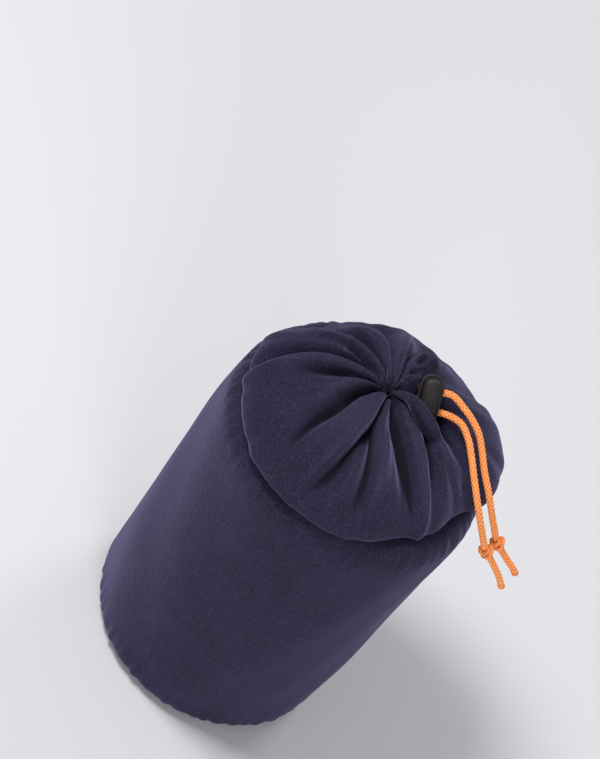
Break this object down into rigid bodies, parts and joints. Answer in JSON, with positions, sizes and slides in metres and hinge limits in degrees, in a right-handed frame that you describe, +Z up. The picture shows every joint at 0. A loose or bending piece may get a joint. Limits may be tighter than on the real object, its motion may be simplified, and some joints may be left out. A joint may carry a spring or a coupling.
{
  "type": "drawstring storage pouch",
  "caption": "Round padded fleece pouch for an instrument's neck and mouthpiece, drawn shut over pleats by a braided cord with a sprung cord lock; it sits in the bell or stands on its base.",
  "frame": {"origin": "middle of the flat base, on the surface the pouch stands on", "axes": "+Z up along the pouch's axis to the drawn mouth, +X towards the side where the cord's ends hang over the rim, +Y completes the right-handed set"},
  "size_m": [0.1419, 0.1136, 0.2006],
  "materials": {
    "fleece": "matte brushed fleece",
    "foam": "matte open-cell foam",
    "lining": "matte knitted lining",
    "cord": "matte braid",
    "lock_plastic": "satin",
    "spring_steel": "satin"
  },
  "bodies": {
    "pouch": {"outer_side_panel": "fleece", "outer_base_panel": "fleece", "side_foam": "foam", "base_foam": "foam", "lining_side": "lining", "lining_base": "lining", "divider": "lining", "gathered_top": "fleece", "hem_casing": "fleece", "drawcord_loop": "cord", "strand_front": "cord", "strand_back": "cord", "knot_front": "cord", "knot_back": "cord"},
    "lock": {"lock_body": "lock_plastic", "lock_spring": "spring_steel"},
    "plunger": {"lock_plunger": "lock_plastic"}
  },
  "joints": [
    {"name": "lock_slide", "type": "slide", "parent": "pouch", "child": "lock", "axis": [0.9228, 0.2998, 0.2419], "range_m": [0, 0.004]},
    {"name": "plunger_press", "type": "slide", "parent": "lock", "child": "plunger", "axis": [-0.0157, 0.6566, -0.7541], "range_m": [0, 0.0035], "stiffness_N_per_m": 900, "deforming": ["lock_spring"]}
  ]
}
